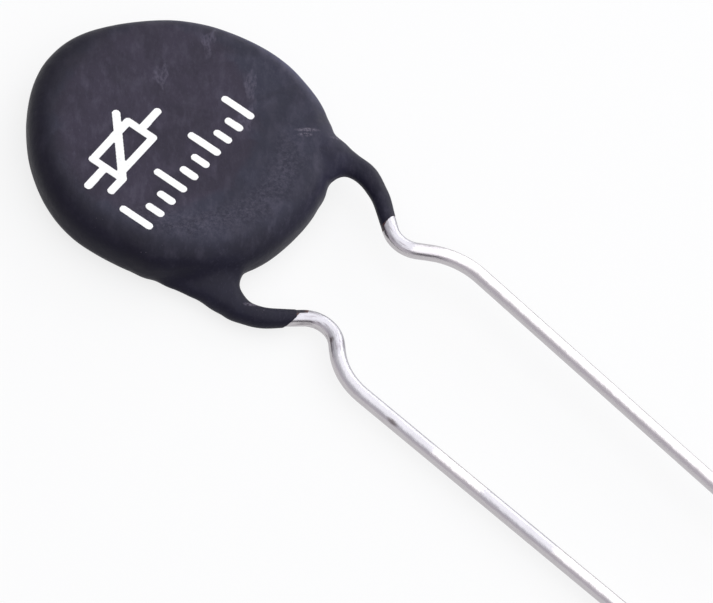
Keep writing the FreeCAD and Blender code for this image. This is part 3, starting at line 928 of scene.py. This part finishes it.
@dataclass
class DipCoat:
    """The coat: a pillow-edged disc with a drip, and two legs that flow out of it.

    A swell has its heading at the rim, how far it is drawn out and how far around the coat follows. A nudge
    has its place in plan, its heading, how far it goes, and the same reach. Either starts from what lies
    within touch of its spot. A leg's end is what lies within end_reach of where the coat stops, and at most
    end_back behind it.
    """

    front: CoatedLeg
    back: CoatedLeg
    radius: float = 24.0
    thickness: float = 8.6
    facets: int = 160
    rim_rounding: float = 3.7
    rim_segments: int = 10
    swells: tuple[Triple, ...] = (
        (184, 1.5, 15.5), (79, 0.7, 14), (58, 0.75, 9), (-123, -0.32, 12), (-75, -0.25, 6), (3, -0.34, 9))
    nudges: tuple[tuple[float, float, float, float, float], ...] = (
        (21.9, 19.8, 70, 0.6, 5), (15.6, 20.0, 52, 0.4, 3), (21.0, 12.8, 30, 0.35, 3),
        (23.3, -11.1, 45, 0.7, 3.5), (20.6, -18.6, -62, -0.5, 4), (13.6, -19.7, -58, 0.35, 3),
        (24.6, -16.4, -62, 0.35, 3.5))
    touch: float = 1.2
    leg_sides: int = 28
    web_steps: int = 4
    bend_steps: int = 8
    sleeve_steps: int = 4
    throat_gap: float = 0.2
    voxel: float = 0.3
    meniscus: float = 2.0
    relief: float = 0.1
    relief_size: float = 7.0
    end_reach: float = 5.0
    end_back: float = 4.0
    cut_tolerance: float = 1e-7
    sharp_angle: float = 50.0

    def build(self) -> bpy.types.Object:
        """Shape the disc and the legs, melt them together and dress them.

        Returns:
            The finished coat.
        """
        disc = self._disc()
        disc.join([self._leg("front_leg", self.front), self._leg("back_leg", self.back)])
        self._melt(disc)
        for ahead, aside, heading, move, reach in self.nudges:
            self._nudge(disc, Vector((ahead, aside, 0)), heading_vector(heading) * move, reach)
        for leg in (self.front, self.back):
            self._trim(disc, leg)
        disc.close()
        disc.smooth_shading(self.sharp_angle)
        return disc.finish("dip_coat", "coating", ResinFinish().make())

    def _disc(self) -> Workpiece:
        """The disc with its pillow edge and its drip.

        Returns:
            The disc.
        """
        rest()
        bpy.ops.mesh.primitive_cylinder_add(vertices=self.facets, radius=self.radius * MM,
                                            depth=self.thickness * MM,
                                            location=(0, 0, self.thickness / 2 * MM))
        disc = Workpiece.fresh("coat")
        points = disc.thing.data.vertices

        def is_level(edge: bpy.types.MeshEdge) -> bool:
            """Whether an edge lies level, as those round both faces do."""
            first, last = (points[corner].co.z for corner in edge.vertices)
            return abs(first - last) < SAME

        disc.pick(Pick.EDGES, is_level)
        bpy.ops.mesh.bevel(offset=self.rim_rounding * MM, segments=self.rim_segments, affect="EDGES",
                           profile=0.5)
        for heading, move, reach in self.swells:
            self._nudge(disc, heading_vector(heading) * self.radius, heading_vector(heading) * move, reach)
        return disc

    def _nudge(self, coat: Workpiece, spot: Vector, move: Vector, reach: float) -> None:
        """Push the coat softly at a spot in plan, and what lies within reach with it."""
        coat.pick(Pick.VERTICES, lambda vertex: (vertex.co.xy - spot.xy * MM).length < self.touch * MM)
        coat.push(move, reach)

    def _leg(self, name: str, leg: CoatedLeg) -> Workpiece:
        """One coated leg: a web that narrows to the throat, then a sleeve round the bend.

        Args:
            name: A name for the leg.
            leg: Its sizes.

        Returns:
            The leg, closed at both ends.
        """
        heading = leg.route.headings()[0]
        tangent = leg.route.tangents()[0]
        corner = leg.route.corners()[0]
        inward = heading_vector(heading + 180)
        section = leg.web
        at = corner + inward * section.back
        piece = Workpiece.ring(name, 1.0, self.leg_sides, at, heading)
        piece.widen(heading, section.width / 2, section.height / 2, at)
        throat = Section(tangent + self.throat_gap, leg.throat, leg.throat)
        for before, after in ((leg.web, leg.shoulder), (leg.shoulder, throat)):
            for step in range(1, self.web_steps + 1):
                new = before.toward(after, step / self.web_steps)
                goal = corner + inward * new.back
                piece.extrude(goal - at)
                piece.widen(heading, new.width / section.width, new.height / section.height, goal)
                at, section = goal, new
        bend_start = corner + inward * tangent
        piece.extrude(bend_start - at)
        self._sleeve(piece, leg, bend_start)
        piece.cap()
        piece.pick(Pick.VERTICES, lambda vertex: vertex.index < self.leg_sides)
        piece.cap()
        piece.close()
        return piece

    def _sleeve(self, piece: Workpiece, leg: CoatedLeg, start: Vector) -> None:
        """Draw the coat on round the bend and along the leg, ever thinner.

        Args:
            piece: The leg, as far as its throat.
            leg: Its sizes.
            start: Where the bend starts.
        """
        heading, outward_heading = leg.route.headings()[:2]
        bend, tangent = leg.route.bends[0], leg.route.tangents()[0]
        turn = outward_heading - heading
        side = 1 if turn > 0 else -1
        centre = start + heading_vector(heading + 90 * side) * bend
        offset = start - centre
        length = leg.route.coat_end - tangent + math.radians(abs(turn)) * bend
        shrink_rate = (leg.end_diameter / leg.throat) ** (1 / length)
        arc = math.radians(abs(turn)) * bend / self.bend_steps
        for step in range(1, self.bend_steps + 1):
            piece.extrude(Vector())
            piece.turn(turn / self.bend_steps, centre)
            angle = math.radians(turn / self.bend_steps * step)
            at = centre + Vector((offset.x * math.cos(angle) - offset.y * math.sin(angle),
                                  offset.x * math.sin(angle) + offset.y * math.cos(angle), 0))
            piece.stretch([shrink_rate ** arc] * 3, at)
        run = (leg.route.coat_end - tangent + leg.spare) / self.sleeve_steps
        for _ in range(self.sleeve_steps):
            at = at + heading_vector(outward_heading) * run
            piece.extrude(heading_vector(outward_heading) * run)
            piece.stretch([shrink_rate ** run] * 3, at)

    def _melt(self, coat: Workpiece) -> None:
        """Melt disc and legs into one skin, fill the creases between them and add soft relief.

        Args:
            coat: The disc, joined with the legs.
        """
        for reach in (self.meniscus, -self.meniscus):
            coat.melt(self.voxel, 3)
            coat.modify("DISPLACE", strength=reach * MM, mid_level=0.0, direction="NORMAL")
        coat.melt(self.voxel, 4)
        swell = bpy.data.textures.new("coat_swell", "CLOUDS")
        swell.noise_scale = self.relief_size * MM
        swell.noise_depth = 1
        coat.modify("DISPLACE", texture=swell, texture_coords="LOCAL", strength=self.relief * MM,
                    mid_level=1.0)

    def _trim(self, coat: Workpiece, leg: CoatedLeg) -> None:
        """Cut a leg's end off on the slant, as the resin drew back from the wire.

        Args:
            coat: The coat.
            leg: The leg whose end is cut.
        """
        heading = leg.route.headings()[1]
        outward, left = heading_vector(heading), heading_vector(heading + 90)
        end = leg.route.corners()[0] + outward * leg.route.coat_end

        def by_the_end(face: bpy.types.MeshPolygon) -> bool:
            """Whether a face lies at the leg's end."""
            away = face.center / MM - end
            return away.length < self.end_reach and away.dot(outward) > -self.end_back

        for level, slant, tilt in leg.trims:
            normal = outward - (left * slant + Vector((0, 0, tilt))) / (leg.end_diameter / 2)
            coat.pick(Pick.FACES, by_the_end)
            bpy.ops.mesh.bisect(plane_co=(end + outward * level) * MM, plane_no=normal.normalized(),
                                use_fill=True, clear_outer=True, clear_inner=False,
                                threshold=self.cut_tolerance)


# The print.


@dataclass
class FacePrint:
    """White print on the front face: a slashed-box symbol over a row of tick strokes.

    A stroke starts as a round face. What lies ahead of its middle, by past_middle of its radius, is drawn out
    to its other end. Of the melted strokes, only the faces that look up by more than upward are kept.
    """

    coat: bpy.types.Object
    start: Pair = (9.4, -17.31)
    heading: float = 98.0
    height: float = 6.2
    stroke: float = 1.4
    row_pitch: float = 9.2
    tail: float = 4.6
    box_width: float = 11.0
    slash: float = 12.5
    slash_slope: float = 40.0
    foot: float = 3.0
    tick_pitch: float = 3.1
    tick_short: float = 3.4
    ink: float = 0.05
    top: float = 8.6
    end_sides: int = 24
    past_middle: float = 0.02
    voxel: float = 0.09
    upward: float = 0.9
    sharp_angle: float = 40.0

    def build(self) -> bpy.types.Object:
        """Draw every stroke, run them together as ink does, and lay them on the coat.

        Returns:
            The finished print.
        """
        half = self.stroke / 2
        strokes = []
        for index, tall in enumerate((True, False, False) * 3 + (True,)):
            along = index * self.tick_pitch + half
            reach = self.height if tall else self.tick_short
            strokes.append(((along, half), (along, reach - half)))
        low, high = self.row_pitch + half, self.row_pitch + self.height - half
        left, right = self.tail + half, self.tail + self.box_width - half
        middle = (low + high) / 2
        run = self.slash / 2 * math.cos(math.radians(self.slash_slope))
        climb = self.slash / 2 * math.sin(math.radians(self.slash_slope))
        centre = (self.tail + self.box_width / 2, self.row_pitch + self.height / 2 + half)
        base = (centre[0] - run, centre[1] - climb)
        strokes += [((left, low), (right, low)), ((right, low), (right, high)), ((right, high), (left, high)),
                    ((left, high), (left, low)), ((half, middle), (left, middle)),
                    ((right, middle), (self.tail * 2 + self.box_width - half, middle)),
                    (base, (centre[0] + run, centre[1] + climb)), (base, (base[0] - self.foot, base[1]))]
        pieces = [self._stroke(f"stroke_{index}", *ends) for index, ends in enumerate(strokes)]
        sheet = pieces[0]
        sheet.thing.name = "ink_print"
        sheet.join(pieces[1:])
        self._place(sheet)
        self._lay(sheet)
        return sheet.finish("white_ink", "face_print", InkFinish().make())

    def _stroke(self, name: str, first: Pair, last: Pair) -> Workpiece:
        """One thick stroke with round ends, in the print's own frame.

        Args:
            name: A name for the stroke.
            first: The middle of its first round end.
            last: The middle of its other end.

        Returns:
            The stroke, 1 mm thick.
        """
        rest()
        start, stop = Vector((*first, 0)), Vector((*last, 0))
        line = stop - start
        radius = self.stroke / 2
        bpy.ops.mesh.primitive_circle_add(vertices=self.end_sides, radius=radius * MM, fill_type="NGON",
                                          location=start * MM)
        piece = Workpiece.fresh(name)
        ahead = line.normalized()
        limit = radius * self.past_middle
        piece.pick(Pick.VERTICES, lambda vertex: (vertex.co / MM - start).dot(ahead) > limit)
        piece.shift(line)
        bpy.ops.mesh.select_all(action="SELECT")
        piece.extrude(Vector((0, 0, 1)))
        piece.close()
        return piece

    def _place(self, sheet: Workpiece) -> None:
        """Run the strokes together and bring them to their place on the face.

        Args:
            sheet: The strokes, joined.
        """
        sheet.melt(self.voxel, 4)
        sheet.pick(Pick.FACES, lambda face: face.normal.z < self.upward)
        bpy.ops.mesh.delete(type="FACE")
        bpy.ops.mesh.select_all(action="SELECT")
        sheet.turn(self.heading, Vector())
        sheet.shift(Vector((*self.start, self.top)))
        bpy.ops.object.mode_set(mode="OBJECT")

    def _lay(self, sheet: Workpiece) -> None:
        """Press the sheet onto the coat's relief and give it the ink's thickness.

        Args:
            sheet: The print, as one sheet without thickness.
        """
        sheet.modify("SHRINKWRAP", target=self.coat, wrap_method="PROJECT", use_project_z=True,
                     use_negative_direction=True, use_positive_direction=True)
        sheet.modify("SOLIDIFY", thickness=self.ink * MM, offset=1.0)
        sheet.close()
        sheet.smooth_shading(self.sharp_angle)


# The stage.


@dataclass
class Studio:
    """A pale floor, soft lamps and the camera at the photograph's angle.

    The camera's own axes are right and back. It stands back by distance from its target, and frames the plane
    there frame_width wide. Air is how strongly the room lights the part from all round.
    """

    target: Triple = (38.26, 0.23, 4.3)
    right: Triple = (0.729, 0.663, 0.168)
    back: Triple = (0.282, -0.515, 0.808)
    distance: float = 1.2
    sensor: float = 36.0
    frame_width: float = 110.7
    air: float = 0.22
    backdrop: Colour = tone(228, 224, 231)
    dark_side: Colour = tone(96, 92, 100)

    def build(self) -> None:
        """Set the stage."""
        self._camera()
        self._world()
        self._floor()
        self._lamp("overhead", (430, 260, 1220), 3200, 40.0)
        self._lamp("window", (-60, 700, 260), 500, 1.8)
        bpy.context.scene.view_settings.view_transform = "Standard"

    def _camera(self) -> None:
        """A long lens that looks down on the part from the photograph's side."""
        data = bpy.data.cameras.new("camera")
        data.sensor_width = self.sensor
        data.lens = self.sensor * self.distance / (self.frame_width * MM)
        data.clip_start, data.clip_end = 0.05, 20
        camera = bpy.data.objects.new("camera", data)
        bpy.context.scene.collection.objects.link(camera)
        right = Vector(self.right).normalized()
        back = Vector(self.back)
        back = (back - right * back.dot(right)).normalized()
        up = back.cross(right)
        turned = camera.matrix_world.copy()
        for row in range(3):
            turned[row][0], turned[row][1], turned[row][2] = right[row], up[row], back[row]
            turned[row][3] = self.target[row] * MM + back[row] * self.distance
        camera.matrix_world = turned
        bpy.context.scene.camera = camera

    def _world(self) -> None:
        """Even light from all round. What is seen of it is a backdrop, white above and dark on one side."""
        world = bpy.data.worlds.new("studio_air")
        bpy.context.scene.world = world
        g = Graph(world)
        ahead, side, height = g.parts(g.add("ShaderNodeTexCoord", {}, output=0))
        backdrop = g.mix((side * 0.57 + height * 0.82).rise(-0.1, 0.4), self.backdrop, (1, 1, 1, 1))
        dark = ahead.rise(0.3, 0.7) * height.rise(0.75, 0.45) * side.rise(0.0, -0.3)
        backdrop = g.mix(dark, backdrop, self.dark_side)
        lit = g.add("ShaderNodeBackground", {}, tone(240, 242, 250), self.air)
        white = g.add("ShaderNodeBackground", {}, backdrop, 1.0)
        g.surface(g.add("ShaderNodeMixShader", {}, g.seen(), lit, white))

    def _floor(self) -> None:
        """A wide pale floor under the part, which keeps its shadow."""
        rest()
        bpy.ops.mesh.primitive_plane_add(size=8, location=(0, 0, -0.00002))
        floor = bpy.context.object
        floor.name = "floor"
        g = Graph.of_material("pale_floor")
        paper = g.add("ShaderNodeBsdfDiffuse", {}, tone(240, 240, 242))
        glow = g.add("ShaderNodeEmission", {}, (1, 1, 1, 1), 1.0)
        floor.data.materials.append(g.surface(g.add("ShaderNodeMixShader", {}, g.seen() * 0.8, paper, glow)))

    def _lamp(self, name: str, place: Triple, size: float, power: float) -> None:
        """A square soft lamp that faces the part.

        Args:
            name: A name for the lamp.
            place: Where it hangs, in millimetres.
            size: How long a side of it is.
            power: Its power in watts.
        """
        data = bpy.data.lights.new(name, "AREA")
        data.size = size * MM
        data.energy = power
        lamp = bpy.data.objects.new(name, data)
        lamp.location = Vector(place) * MM
        aim = Vector(self.target) * MM - lamp.location
        lamp.rotation_euler = aim.to_track_quat("-Z", "Y").to_euler()
        bpy.context.scene.collection.objects.link(lamp)


def dress_core() -> None:
    """Give the sealed pieces their finishes."""
    silver = SilverFinish("fired_silver", tone(214, 212, 206), tone(170, 167, 160), 1.2, 0.02).make()
    solder = SilverFinish("set_solder", tone(196, 197, 200), tone(146, 148, 154), 0.6, 0.15).make()
    ceramic = CeramicFinish().make()
    for node, material in (("ceramic_disc", ceramic), ("front_electrode", silver), ("back_electrode", silver),
                           ("front_solder", solder), ("back_solder", solder)):
        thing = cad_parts[node]
        thing.data.materials.clear()
        thing.data.materials.append(material)
        log.info("%s: dressed", node)


def main() -> None:
    """Build every piece in order."""
    logging.basicConfig(level=logging.INFO, format="%(name)s: %(message)s")
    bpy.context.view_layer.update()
    front = Route(exit=(25.599, 18.404), kink=(36.199, 11.204), set=(43.899, 17.604), tip=(109.97, 15.758),
                  level=6.2, inner_heading=13.4, bends=(10, 4.6, 12.5), coat_end=7.7)
    back = Route(exit=(28.5, -13.9), kink=(37.3, -3.6), set=(45.5, -11.0), tip=(109.98, -9.649),
                 level=2.4, inner_heading=0, bends=(8, 4.7, 11.5), coat_end=7.9)
    coat = DipCoat(
        front=CoatedLeg(front, Section(11.9, 7.9, 4.4), Section(7.5, 6.0, 4.2), throat=3.7,
                        trims=((0.2, -0.9, 0.0),)),
        back=CoatedLeg(back, Section(15.5, 11, 4.4), Section(9.0, 8.8, 4.2), throat=4.2,
                       trims=((-0.8, 1.3, 1.0), (-0.42, 0.0, 0.0))),
    ).build()
    KinkedWire("front_wire", "front_lead", front,
               TinnedFinish("tinned_front", edge=(0.4, -0.9, -0.1), tongue=(-1, 0.75, 1.8),
                            dull_and_shade_runs=((20.0, 38.5, 0.92), (38.5, 42.0, 0.3)),
                            stains=((31.2, 13.2, -34, 1.2),))).build()
    KinkedWire("back_wire", "back_lead", back,
               TinnedFinish("tinned_back", edge=(-0.7, 1.2, 0.8), tongue=(1, -0.05, 1.5),
                            dull_and_shade_runs=((20.0, 43.0, 0.92), (43.0, 64.6, 0.8), (74.9, 89.3, 0.8)),
                            stains=((56.8, -11.6, 1, 1.4), (40.2, -7.4, -42, 0.7))),
               exit_run=10.05).build()
    FacePrint(coat).build()
    dress_core()
    Studio().build()
    rest()


if __name__ == "__main__":
    main()
